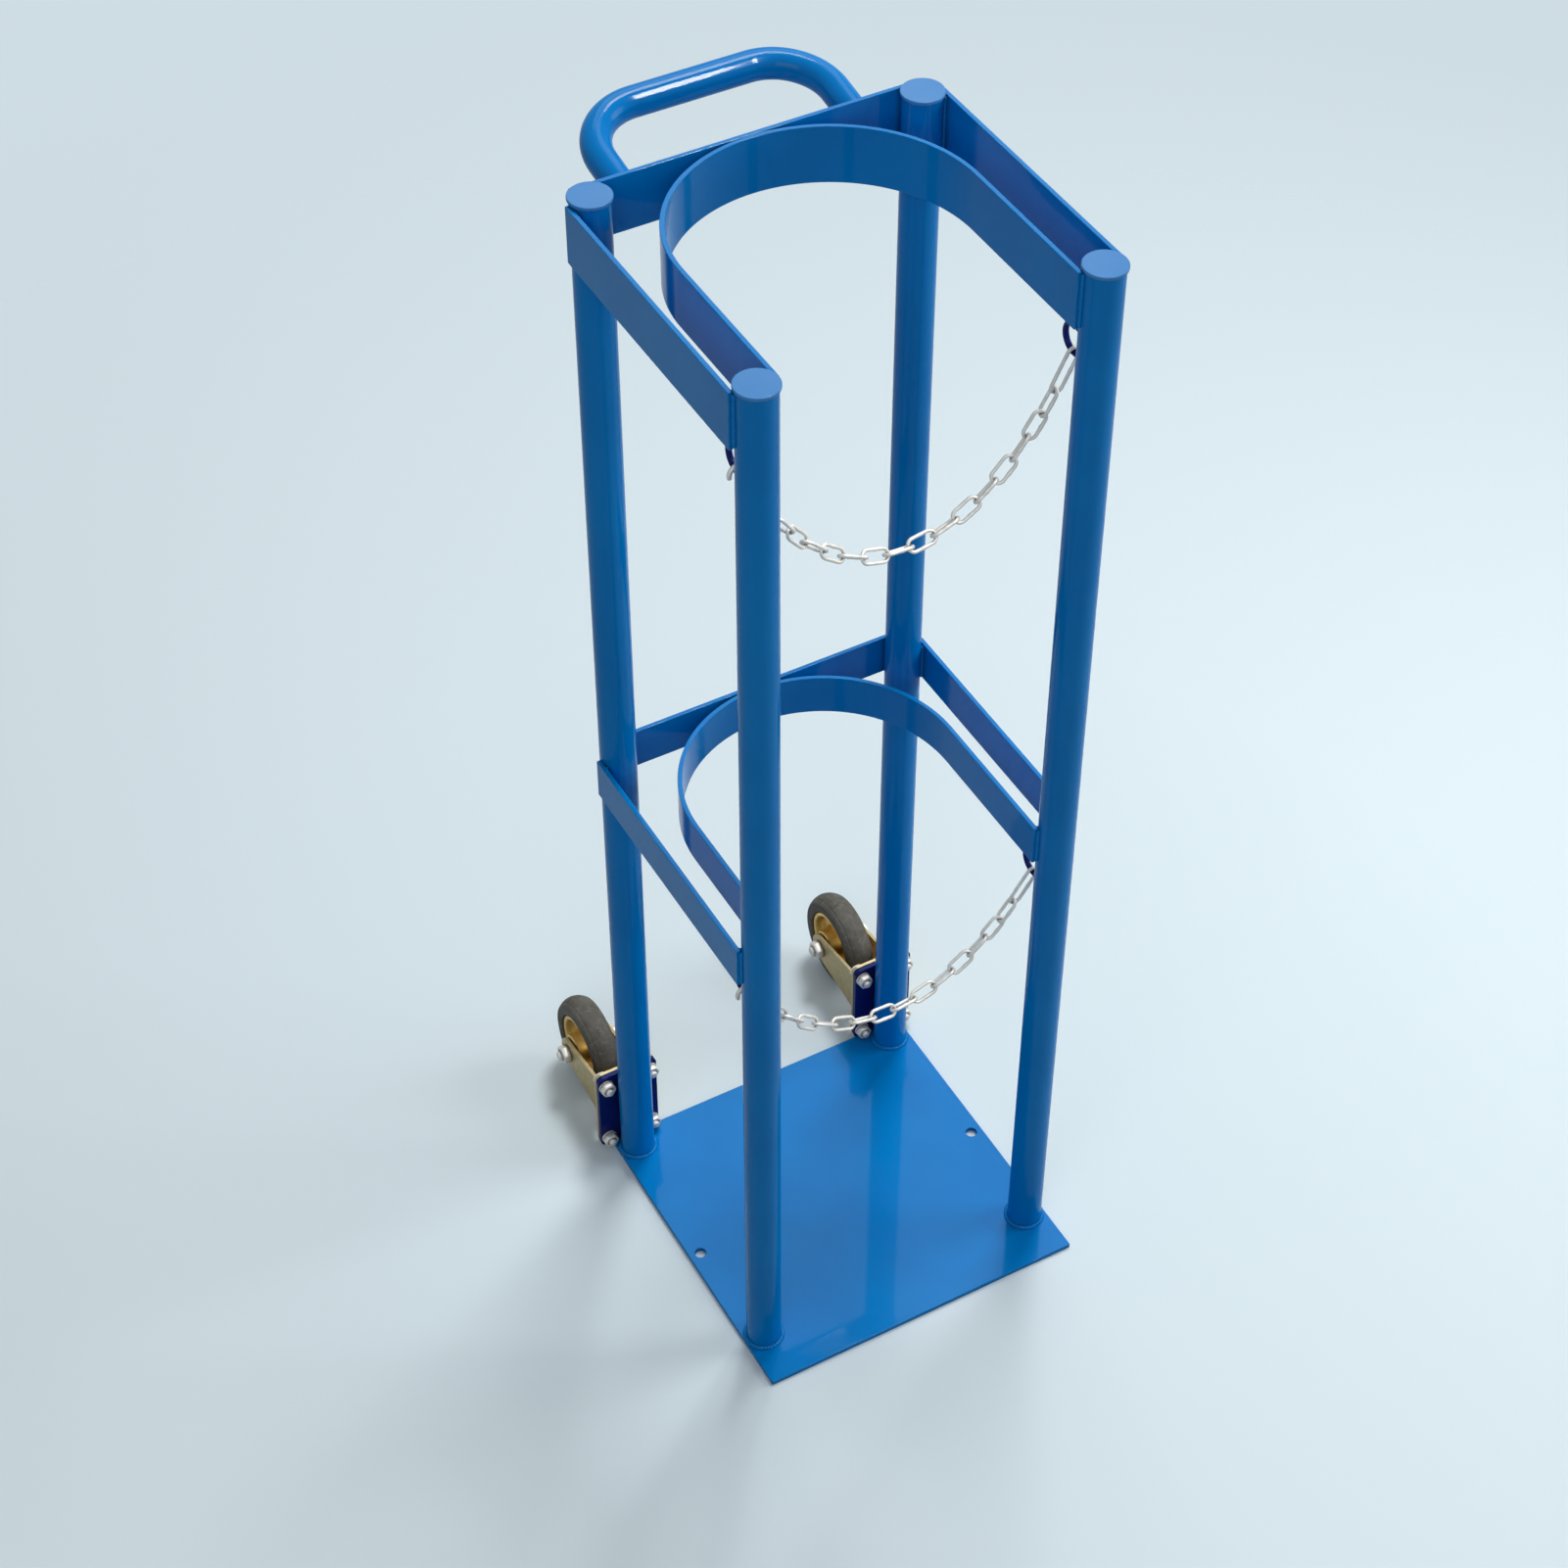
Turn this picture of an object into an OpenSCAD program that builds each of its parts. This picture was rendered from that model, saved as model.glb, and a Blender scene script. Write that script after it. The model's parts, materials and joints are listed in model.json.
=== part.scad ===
// Gas cylinder trolley: a welded tube frame on a flat foot plate, two levels of flat bar with
// U-shaped cradle bands, a bent tube handle, two safety chains and two fixed casters.
// Origin: centre of the foot plate's underside. +X is right seen from the chain side, which
// faces -Y, and the handle and wheels are on the +Y side. All lengths are in millimetres.

/* [Foot plate] */
// Width of the foot plate, left to right
plate_w = 320; // [300:1:360]
// Depth of the foot plate, front to rear
plate_d = 320; // [300:1:360]
// Thickness of the foot plate
plate_t = 5; // [4:0.5:8]
// Diameter of the two tie-down holes
hole_d = 11; // [8:0.5:13]
// Tie-down hole centre to the side edge of the plate
hole_inset = 11; // [9:0.5:16]

/* [Uprights] */
// Outside diameter of the four upright tubes
tube_d = 32; // [28:0.5:34]
// Wall of the upright tubes
tube_wall = 2.5; // [1.5:0.1:4]
// Length of each upright
upright_l = 1097; // [950:1:1200]
// Upright axis to the side edge of the plate
side_inset = 19; // [18:0.5:26]
// Front upright axis to the front edge of the plate
front_inset = 51; // [35:1:70]
// Diameter of the end caps
cap_d = 35; // [34.5:0.5:40]
// Thickness of the end caps
cap_t = 3; // [2:0.5:5]
// Leg length of the weld round each upright's foot
foot_weld = 3; // [1.5:0.1:4]
// Gap left between a tube and the flat bar welded along it
weld_gap = 0.1; // [0.05:0.01:0.2]

/* [Flat bars] */
// Thickness of all flat bars and bands
bar_t = 4; // [3:0.5:6]
// Height of the flat bars at the top level
top_bar_h = 50; // [40:1:60]
// Height of the flat bars at the middle level
mid_bar_h = 40; // [30:1:50]
// Upper edge of the top bars below the upright's end
top_bar_drop = 1; // [0.5:0.5:20]
// Lower edge of the middle bars above the plate
mid_bar_rise = 490; // [420:1:600]
// Side bars and bands stop short of the front upright axis by this much
bar_short = 4; // [0:0.5:5]
// Side bars run past the rear upright axis by this much
bar_past = 1; // [0:0.5:8]
// Rear bars run past the rear upright axis by this much
rear_bar_past = 8; // [2:0.5:12]

/* [Handle] */
// Outside diameter of the handle tube
handle_d = 25; // [22:0.5:28]
// Wall of the handle tube
handle_wall = 2; // [1.5:0.1:3]
// Distance between the two leg axes
handle_w = 200; // [170:1:230]
// Rear bar to the grip's axis, along the legs
handle_reach = 92; // [75:1:130]
// Bend radius at the tube's axis
handle_bend = 50; // [35:1:60]
// Rise of the legs above the horizontal, in degrees
handle_rise = 10; // [0:1:25]

/* [Chains] */
// Wire of the welded chain eyes
eye_wire = 5; // [4:0.5:6]
// Mean radius of the chain eyes
eye_r = 12.5; // [10:0.5:14]
// Depth that an eye is let into the upright it is welded to
eye_sink = 1; // [0.5:0.1:1.5]
// Eye centre below the lower edge of the bars
eye_drop = 32; // [20:1:40]
// Wire of the chain links
link_wire = 3; // [2.5:0.5:3.5]
// Inside length of a chain link
link_pitch = 21; // [19:0.5:24]
// Outside width of a chain link
link_w = 13.5; // [12.5:0.5:16]
// Lean of the links about the chain's own line, upper edges to the rear, in degrees
link_lean = 36; // [0:1:40]
// Links from each end of the chain over which the lean grows to its full angle
lean_links = 3; // [2:1:5]
// Inside length of the long link at the right-hand eye
end_pitch = 36; // [28:1:44]
// Pairs of links in the top chain, with one more link
top_link_pairs = 8; // [7:1:9]
// Pairs of links in the middle chain, with one more link
mid_link_pairs = 7; // [6:1:9]
// Wire of the S-hooks
hook_wire = 4; // [3.5:0.5:4.5]
// Mean radius of both bends of an S-hook
hook_r = 7.5; // [7:0.5:9]
// Sweep of each bend of an S-hook, in degrees
hook_sweep = 262; // [220:1:275]
// Play between links that hang in each other
chain_play = 0.3; // [0.2:0.05:0.5]

/* [Casters] */
// Width of the mounting plate welded to the upright, and of the caster plate on it
mount_w = 62; // [61:1:70]
// Height of the mounting plate and of the caster plate
mount_h = 98; // [94:1:99]
// Thickness of the mounting plate
mount_t = 5; // [4:0.5:8]
// Corner radius of the mounting plate and of the caster plate
mount_corner = 6; // [2:0.5:8]
// Thickness of the caster plate and the fork arms
fork_t = 3; // [2:0.5:4]
// Height of the fork arms at the caster plate
fork_root_h = 54; // [40:1:56]
// Radius of the fork arms round the axle
fork_end_r = 15; // [13:0.5:20]
// Side clearance between wheel and fork arm
fork_clear = 6.5; // [5:0.1:7]
// Mounting plate's rear face to the axle
axle_reach = 79; // [72:1:95]
// Bolt spacing across the caster plate
bolt_span_x = 46; // [44:0.5:46]
// Bolt spacing up the caster plate
bolt_span_z = 75; // [73:0.5:78]
// Diameter of the caster bolts
bolt_d = 8; // [6:0.5:8]
// Bolt head and nut size across flats, as a multiple of the bolt diameter
hex_ratio = 1.63; // [1.5:0.01:1.7]
// Bolt end standing out of the nut
bolt_out = 3; // [1:0.5:5]
// Thickness of the washers
washer_t = 1.6; // [1:0.1:2]
// Outside diameter of the washers
washer_d = 15; // [13.5:0.5:16]
// Radial clearance of a bolt in its hole
bolt_clear = 0.3; // [0.1:0.05:0.5]
// Diameter of the axle bolt
axle_d = 10; // [8:0.5:12]
// Radial clearance between a nut and its thread
thread_gap = 0.05; // [0.02:0.01:0.1]

/* [Wheels] */
// Diameter of the wheels
wheel_d = 100; // [90:1:110]
// Width of the tyre
wheel_w = 27; // [25:0.5:30]
// Gap between the wheels and the floor while the plate stands on it
wheel_lift = 1.5; // [1:0.5:6]
// Diameter of the rim that carries the tyre
rim_d = 70; // [60:1:76]
// Thickness of the rim
rim_t = 6; // [4:0.5:9]
// Side step from the tyre's flank in to the rim's edge
rim_step = 2; // [0.5:0.5:5]
// Thickness of the web between boss and rim
web_t = 9; // [5:0.5:14]
// Outside diameter of the hub boss
boss_d = 32; // [28:0.5:38]
// Boss standing out past the tyre's flank on each side
boss_out = 4.5; // [0:0.1:4.5]
// Radius of the tyre's crown across its width
crown_r = 18; // [17.5:0.5:26]
// Outside diameter of the axle sleeve
sleeve_d = 14; // [13:0.5:16]
// Wall of the bush pressed into the hub
bush_wall = 3; // [2:0.5:4]
// Radial running clearance between bush and sleeve
run_clear = 0.05; // [0.02:0.01:0.1]
// Play of the bush between the fork arms, on each side
side_play = 0.3; // [0.2:0.05:0.5]

/* [Hidden] */

$fn = 96;
wire_sides = 48;
band_sides = 180;
LEFT = -1;
RIGHT = 1;
// Cutting shapes run past the faces they cut, and joined shapes into each other, by this much
over = 1;
paint = "#0a5ea8";
paint_dark = "#0c1f5c";
zinc = "#c9c9c6";
yellow_zinc = "#b09a5e";
hub_yellow = "#c8922e";
bronze = "#8a7a50";
rubber = "#3a3936";

// Uprights
tube_r = tube_d / 2;
upright_x = plate_w / 2 - side_inset;
front_y = front_inset - plate_d / 2;
rear_y = plate_d / 2 - tube_r;
upright_top = plate_t + upright_l;
foot_leg = min(foot_weld, side_inset - tube_r);

// Flat bars
side_face = upright_x + tube_r + weld_gap;
rear_face = rear_y + tube_r + weld_gap;
rear_bar_back = rear_face + bar_t;
top_bar_z = upright_top - top_bar_drop - top_bar_h;
mid_bar_z = plate_t + mid_bar_rise;
band_r = upright_x - tube_r - weld_gap;
band_centre_y = rear_face - weld_gap - band_r;

// Chains: an eye is a ring round an X axis, and that axis is also the chain's swing axis
eye_y = front_y + tube_r + eye_r + eye_wire / 2 - eye_sink;
top_eye_z = top_bar_z - eye_drop;
mid_eye_z = mid_bar_z - eye_drop;
link_bend = (link_w - link_wire) / 2;
hook_seat = hook_r - hook_wire / 2 - eye_wire / 2 - chain_play;
hook_span = hook_r + hook_seat + 2 * hook_r - hook_wire / 2 - chain_play / 2;
end_span = end_pitch - eye_wire / 2 - chain_play - chain_play / 2;
chain_width = 2 * upright_x;

// Casters
axle_z = wheel_d / 2 + wheel_lift;
mount_back = rear_face + mount_t;
axle_y = mount_back + axle_reach;
fork_gap = wheel_w + 2 * fork_clear;
arm_face = fork_gap / 2 + fork_t;
bolt_hex = bolt_d * hex_ratio;
axle_hex = axle_d * hex_ratio;
head_ratio = 0.65;
nut_ratio = 0.8;
bush_r = sleeve_d / 2 + run_clear + bush_wall;

// Sum of a list of numbers
function total(list, i = 0) = i < len(list) ? list[i] + total(list, i + 1) : 0;

// Number of the long end link in a chain: the S-hook is part 0 and the links come between
function end_part(pairs) = 2 * pairs + 2;

// Lengths of the S-hook, the links and the long end link between their joints
function chain_parts(pairs) = concat(
    [hook_span],
    [for (i = [1 : end_part(pairs) - 1]) link_pitch - chain_play],
    [end_span]
);

// Length along the chain to the middle of each part
function part_middles(parts) =
    [for (i = 0, s = 0; i < len(parts); s = s + parts[i], i = i + 1) s + parts[i] / 2];

// A hanging chain's slope grows evenly along its length from its lowest point
function slopes(middles, low, scale) = [for (m = middles) atan((m - low) / scale)];
function chain_run(parts, angles) = total([for (i = [0 : len(parts) - 1]) parts[i] * cos(angles[i])]);
function chain_climb(parts, angles) = total([for (i = [0 : len(parts) - 1]) parts[i] * sin(angles[i])]);

// Scale at which the chain spans the eyes, found by halving the interval of all likely scales
halvings = 40;
least_scale = 1;
most_scale = 2000;
function fit_scale(parts, middles, low, a, b, steps) =
    let (m = (a + b) / 2)
    steps == 0 ? m :
    chain_run(parts, slopes(middles, low, m)) > chain_width
        ? fit_scale(parts, middles, low, a, m, steps - 1)
        : fit_scale(parts, middles, low, m, b, steps - 1);

// Lowest point at which both chain ends are level
function fit_low(parts, middles, a, b, steps) =
    let (m = (a + b) / 2)
    let (scale = fit_scale(parts, middles, m, least_scale, most_scale, halvings))
    steps == 0 ? m :
    chain_climb(parts, slopes(middles, m, scale)) > 0
        ? fit_low(parts, middles, m, b, steps - 1)
        : fit_low(parts, middles, a, m, steps - 1);

// Slope of every part of a chain, from the left eye to the right one
function chain_angles(parts) =
    let (middles = part_middles(parts))
    let (low = fit_low(parts, middles, 0, total(parts), halvings))
    slopes(middles, low, fit_scale(parts, middles, low, least_scale, most_scale, halvings));

// Joint i of a chain, as [x, z] from its left end
function joint_at(parts, angles, i) = [
    i == 0 ? 0 : total([for (k = [0 : i - 1]) parts[k] * cos(angles[k])]),
    i == 0 ? 0 : total([for (k = [0 : i - 1]) parts[k] * sin(angles[k])])
];

quarter = 90;

// Turn of link i about the chain's own line: a quarter from the last one, and leaning to the rear
function link_turn(pairs, i) =
    (i % 2 == 0 ? quarter : 0) - link_lean * min(1, i / lean_links, (end_part(pairs) - i) / lean_links);

// Tube along +Z
module tube(d, wall, l) {
    difference() {
        cylinder(d = d, h = l);
        translate([0, 0, -over]) cylinder(d = d - 2 * wall, h = l + 2 * over);
    }
}

// Round wire bent to an arc about Z, from the +X side
module wire_arc(r, wire, sweep) {
    rotate_extrude(angle = sweep) translate([r, 0]) circle(d = wire, $fn = wire_sides);
}

// Hexagon along +Z, by its size across flats
module hexagon(flats, h) {
    cylinder(d = flats / cos(30), h = h, $fn = 6);
}

// Foot plate with its two tie-down holes
module foot_plate() {
    color(paint) difference() {
        translate([-plate_w / 2, -plate_d / 2, 0]) cube([plate_w, plate_d, plate_t]);
        for (side = [LEFT, RIGHT])
            translate([side * (plate_w / 2 - hole_inset), 0, -over])
                cylinder(d = hole_d, h = plate_t + 2 * over);
    }
}

// Weld rings round the feet of the uprights, open at the plate's rear edge
module foot_welds() {
    color(paint) difference() {
        for (side = [LEFT, RIGHT], y = [front_y, rear_y])
            translate([side * upright_x, y, plate_t])
                rotate_extrude()
                    polygon([[tube_r, 0], [tube_r + foot_leg, 0], [tube_r, foot_leg]]);
        translate([-plate_w, plate_d / 2 - foot_leg, 0])
            cube([2 * plate_w, plate_d, plate_t + foot_leg + over]);
    }
}

module upright(side, y) {
    color(paint) translate([side * upright_x, y, plate_t]) tube(tube_d, tube_wall, upright_l);
}

module upright_cap(side, y) {
    color(paint) translate([side * upright_x, y, upright_top]) cylinder(d = cap_d, h = cap_t);
}

// Flat bar across the rear faces of the rear uprights
module rear_bar(z, h) {
    half = upright_x + rear_bar_past;
    color(paint) translate([-half, rear_face, z]) cube([2 * half, bar_t, h]);
}

// Flat bar along the outer faces of the uprights on one side
module side_bar(side, z, h) {
    x = side == LEFT ? -side_face - bar_t : side_face;
    front_end = front_y + bar_short;
    color(paint)
        translate([x, front_end, z]) cube([bar_t, rear_y + bar_past - front_end, h]);
}

// U-shaped band: two straight legs along the inner faces of the front uprights and a half
// circle between them that rests on the rear bar
module cradle_band(z, h) {
    leg = band_centre_y - front_y - bar_short;
    color(paint) translate([0, band_centre_y, z]) {
        rotate_extrude(angle = 180, $fn = band_sides) translate([band_r - bar_t, 0]) square([bar_t, h]);
        for (x = [-band_r, band_r - bar_t])
            translate([x, -leg, 0]) cube([bar_t, leg, h]);
    }
}

// Bent tube handle, butted against the rear bar
module handle() {
    half = handle_w / 2;
    straight = handle_reach - handle_bend;
    root = handle_d;
    block = 3 * root;
    leg_z = top_bar_z + top_bar_h / 2;
    color(paint) difference() {
        translate([0, rear_bar_back, leg_z]) rotate([handle_rise, 0, 0]) {
            for (side = [LEFT, RIGHT]) {
                translate([side * half, -root, 0]) rotate([-90, 0, 0])
                    tube(handle_d, handle_wall, straight + root);
                translate([side * (half - handle_bend), straight, 0])
                    rotate([0, 0, side == LEFT ? 90 : 0])
                        rotate_extrude(angle = 90) translate([handle_bend, 0]) difference() {
                            circle(d = handle_d);
                            circle(d = handle_d - 2 * handle_wall);
                        }
            }
            translate([handle_bend - half, handle_reach, 0]) rotate([0, 90, 0])
                tube(handle_d, handle_wall, handle_w - 2 * handle_bend);
        }
        translate([-handle_w, rear_bar_back + weld_gap - block, leg_z - block])
            cube([2 * handle_w, block, 2 * block]);
    }
}

// Ring welded to the rear of a front upright, just below the bars
module chain_eye(side, z) {
    color(paint_dark) difference() {
        translate([side * upright_x, eye_y, z]) rotate([0, 90, 0]) wire_arc(eye_r, eye_wire, 360);
        translate([side * upright_x, front_y, z - 2 * eye_r])
            cylinder(d = tube_d + 2 * weld_gap, h = 4 * eye_r);
    }
}

// Closed chain link along X in the XY plane, centred on the origin
module link(pitch) {
    straight = pitch + link_wire - 2 * link_bend;
    for (end = [0, 180])
        rotate([0, 0, end]) {
            translate([straight / 2, 0, 0]) rotate([0, 0, -90]) wire_arc(link_bend, link_wire, 180);
            translate([-straight / 2, link_bend, 0]) rotate([0, 90, 0])
                cylinder(d = link_wire, h = straight, $fn = wire_sides);
        }
}

// S-hook along X in the XY plane, with its upper bend on the -X side
module s_hook() {
    translate([-hook_r, 0, 0]) wire_arc(hook_r, hook_wire, hook_sweep);
    translate([hook_r, 0, 0]) rotate([0, 0, 180]) wire_arc(hook_r, hook_wire, hook_sweep);
}

// Places part i of a chain: its children lie along X and run from joint i to joint i + 1
module on_chain(pairs, eye_z, i) {
    parts = chain_parts(pairs);
    angles = chain_angles(parts);
    start = joint_at(parts, angles, i);
    translate([start[0] - upright_x, eye_y, eye_z - eye_r + start[1]])
        rotate([0, -angles[i], 0]) children();
}

// S-hook that hangs in the left eye
module chain_hook(pairs, eye_z) {
    color(zinc) on_chain(pairs, eye_z, 0)
        translate([hook_r + hook_seat, 0, 0]) rotate([90, 0, 0]) s_hook();
}

// Links between the hook and the long end link, each turned a quarter from the last
module chain_links(pairs, eye_z) {
    color(zinc) for (i = [1 : end_part(pairs) - 1])
        on_chain(pairs, eye_z, i)
            translate([(link_pitch - chain_play) / 2, 0, 0])
                rotate([link_turn(pairs, i), 0, 0]) link(link_pitch);
}

// Long link that hangs in the right eye
module chain_end(pairs, eye_z) {
    color(zinc) on_chain(pairs, eye_z, end_part(pairs))
        translate([(end_pitch - chain_play) / 2, 0, 0]) rotate([90, 0, 0]) link(end_pitch);
}

// Children sit about a caster's centre: X along the axle, Y from the mounting plate's front
// face to the rear, Z about the axle's height
module at_caster(side) {
    translate([side * upright_x, rear_face, axle_z]) children();
}

// Children lie along Y from the plates' rear side, at each caster bolt
module at_bolts(side) {
    at_caster(side)
        for (x = [-bolt_span_x / 2, bolt_span_x / 2], z = [-bolt_span_z / 2, bolt_span_z / 2])
            translate([x, 0, z]) rotate([-90, 0, 0]) children();
}

module bolt_holes() {
    for (x = [-bolt_span_x / 2, bolt_span_x / 2], z = [-bolt_span_z / 2, bolt_span_z / 2])
        translate([x, -over, z]) rotate([-90, 0, 0])
            cylinder(d = bolt_d + 2 * bolt_clear, h = mount_t + fork_t + 2 * over);
}

// Plate of the casters' outline with rounded corners, from Y = 0 to its thickness
module caster_outline(t) {
    inner_w = mount_w - 2 * mount_corner;
    inner_h = mount_h - 2 * mount_corner;
    translate([0, t, 0]) rotate([90, 0, 0]) linear_extrude(t) {
        square([inner_w, mount_h], center = true);
        square([mount_w, inner_h], center = true);
        for (x = [-inner_w / 2, inner_w / 2], z = [-inner_h / 2, inner_h / 2])
            translate([x, z]) circle(r = mount_corner);
    }
}

// Plate welded to the rear of an upright, which carries a caster
module mount_plate(side) {
    color(paint_dark) at_caster(side) difference() {
        caster_outline(mount_t);
        bolt_holes();
    }
}

// Outline of a fork arm, in Y and Z from the caster plate's front face, with its root in the plate
module arm_outline() {
    lean = asin((fork_root_h / 2 - fork_end_r) / (axle_reach - fork_t));
    polygon([
        [0, -fork_root_h / 2],
        [fork_t, -fork_root_h / 2],
        [axle_reach + fork_end_r * sin(lean), -fork_end_r * cos(lean)],
        [axle_reach + fork_end_r * sin(lean), fork_end_r * cos(lean)],
        [fork_t, fork_root_h / 2],
        [0, fork_root_h / 2]
    ]);
}

// Caster plate with its two fork arms
module caster_fork(side) {
    color(yellow_zinc) at_caster(side) difference() {
        translate([0, mount_t, 0]) {
            caster_outline(fork_t);
            for (x = [-arm_face, fork_gap / 2])
                translate([x, 0, 0]) {
                    rotate([90, 0, 90]) linear_extrude(fork_t) arm_outline();
                    translate([0, axle_reach, 0]) rotate([0, 90, 0])
                        cylinder(r = fork_end_r, h = fork_t);
                }
        }
        bolt_holes();
        translate([-arm_face - over, mount_t + axle_reach, 0]) rotate([0, 90, 0])
            cylinder(d = axle_d + 2 * bolt_clear, h = 2 * arm_face + 2 * over);
    }
}

// Four hexagon bolts with their heads on the caster plate
module caster_bolts(side) {
    shank = mount_t + fork_t + washer_t + bolt_d * nut_ratio + bolt_out;
    color(zinc) at_bolts(side) translate([0, 0, mount_t + fork_t]) {
        hexagon(bolt_hex, bolt_d * head_ratio);
        translate([0, 0, -shank]) cylinder(d = bolt_d, h = shank + over);
    }
}

module caster_washers(side) {
    color(zinc) at_bolts(side) translate([0, 0, -washer_t]) difference() {
        cylinder(d = washer_d, h = washer_t);
        translate([0, 0, -over]) cylinder(d = bolt_d + 2 * bolt_clear, h = washer_t + 2 * over);
    }
}

module caster_nuts(side) {
    nut_h = bolt_d * nut_ratio;
    color(zinc) at_bolts(side) translate([0, 0, -washer_t - nut_h]) difference() {
        hexagon(bolt_hex, nut_h);
        translate([0, 0, -over]) cylinder(d = bolt_d + 2 * thread_gap, h = nut_h + 2 * over);
    }
}

// Children lie along X through a wheel's axle, from its middle
module at_axle(side) {
    translate([side * upright_x, axle_y, axle_z]) rotate([0, 90, 0]) children();
}

// Axle bolt, with its head on the right-hand fork arm
module axle_bolt(side) {
    tail = arm_face + axle_d * nut_ratio + bolt_out;
    color(zinc) at_axle(side) {
        translate([0, 0, arm_face]) hexagon(axle_hex, axle_d * head_ratio);
        translate([0, 0, -tail]) cylinder(d = axle_d, h = tail + arm_face + over);
    }
}

module axle_nut(side) {
    nut_h = axle_d * nut_ratio;
    color(zinc) at_axle(side) translate([0, 0, -arm_face - nut_h]) difference() {
        hexagon(axle_hex, nut_h);
        translate([0, 0, -over]) cylinder(d = axle_d + 2 * thread_gap, h = nut_h + 2 * over);
    }
}

// Spacer clamped between the fork arms, on which the wheel runs
module axle_sleeve(side) {
    color(zinc) at_axle(side) translate([0, 0, -fork_gap / 2])
        tube(sleeve_d, (sleeve_d - axle_d) / 2 - bolt_clear, fork_gap);
}

// Bush in the hub
module wheel_bush(side) {
    l = fork_gap - 2 * side_play;
    color(bronze) at_axle(side) translate([0, 0, -l / 2]) tube(2 * bush_r, bush_wall, l);
}

// Half section of the hub: boss, web and rim
module hub_section() {
    boss_l = wheel_w + 2 * boss_out;
    rim_w = wheel_w - 2 * rim_step;
    translate([bush_r, -boss_l / 2]) square([boss_d / 2 - bush_r, boss_l]);
    translate([boss_d / 2 - over, -web_t / 2])
        square([rim_d / 2 - rim_t - boss_d / 2 + 2 * over, web_t]);
    translate([rim_d / 2 - rim_t, -rim_w / 2]) square([rim_t, rim_w]);
}

module wheel_hub(side) {
    color(hub_yellow) at_axle(side) rotate_extrude() hub_section();
}

// Solid tyre with a round crown
module tyre(side) {
    color(rubber) at_axle(side) rotate_extrude() intersection() {
        translate([wheel_d / 2 - crown_r, 0]) circle(r = crown_r);
        translate([rim_d / 2, -wheel_w / 2]) square([wheel_d, wheel_w]);
    }
}

foot_plate();
foot_welds();
upright(LEFT, front_y);  // upright_front_left
upright(RIGHT, front_y);  // upright_front_right
upright(LEFT, rear_y);  // upright_rear_left
upright(RIGHT, rear_y);  // upright_rear_right
upright_cap(LEFT, front_y);  // cap_front_left
upright_cap(RIGHT, front_y);  // cap_front_right
upright_cap(LEFT, rear_y);  // cap_rear_left
upright_cap(RIGHT, rear_y);  // cap_rear_right
rear_bar(top_bar_z, top_bar_h);  // top_rear_bar
side_bar(LEFT, top_bar_z, top_bar_h);  // top_side_bar_left
side_bar(RIGHT, top_bar_z, top_bar_h);  // top_side_bar_right
cradle_band(top_bar_z, top_bar_h);  // top_cradle_band
rear_bar(mid_bar_z, mid_bar_h);  // mid_rear_bar
side_bar(LEFT, mid_bar_z, mid_bar_h);  // mid_side_bar_left
side_bar(RIGHT, mid_bar_z, mid_bar_h);  // mid_side_bar_right
cradle_band(mid_bar_z, mid_bar_h);  // mid_cradle_band
handle();
chain_eye(LEFT, top_eye_z);  // top_eye_left
chain_eye(RIGHT, top_eye_z);  // top_eye_right
chain_eye(LEFT, mid_eye_z);  // mid_eye_left
chain_eye(RIGHT, mid_eye_z);  // mid_eye_right
chain_hook(top_link_pairs, top_eye_z);  // top_hook
chain_links(top_link_pairs, top_eye_z);  // top_chain
chain_end(top_link_pairs, top_eye_z);  // top_end_link
chain_hook(mid_link_pairs, mid_eye_z);  // mid_hook
chain_links(mid_link_pairs, mid_eye_z);  // mid_chain
chain_end(mid_link_pairs, mid_eye_z);  // mid_end_link
mount_plate(LEFT);  // mount_plate_left
mount_plate(RIGHT);  // mount_plate_right
caster_fork(LEFT);  // caster_fork_left
caster_fork(RIGHT);  // caster_fork_right
caster_bolts(LEFT);  // caster_bolts_left
caster_bolts(RIGHT);  // caster_bolts_right
caster_washers(LEFT);  // caster_washers_left
caster_washers(RIGHT);  // caster_washers_right
caster_nuts(LEFT);  // caster_nuts_left
caster_nuts(RIGHT);  // caster_nuts_right
axle_bolt(LEFT);  // axle_bolt_left
axle_bolt(RIGHT);  // axle_bolt_right
axle_nut(LEFT);  // axle_nut_left
axle_nut(RIGHT);  // axle_nut_right
axle_sleeve(LEFT);  // axle_sleeve_left
axle_sleeve(RIGHT);  // axle_sleeve_right
wheel_bush(LEFT);  // wheel_bush_left
wheel_bush(RIGHT);  // wheel_bush_right
wheel_hub(LEFT);  // wheel_hub_left
wheel_hub(RIGHT);  // wheel_hub_right
tyre(LEFT);  // tyre_left
tyre(RIGHT);  // tyre_right
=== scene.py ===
"""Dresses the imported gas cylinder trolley: enamel, weld beads, chains, fasteners, casters and a studio."""
import json
import math
import random

import bmesh
import bpy
import numpy as np
from mathutils import Matrix, Quaternion, Vector

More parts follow.
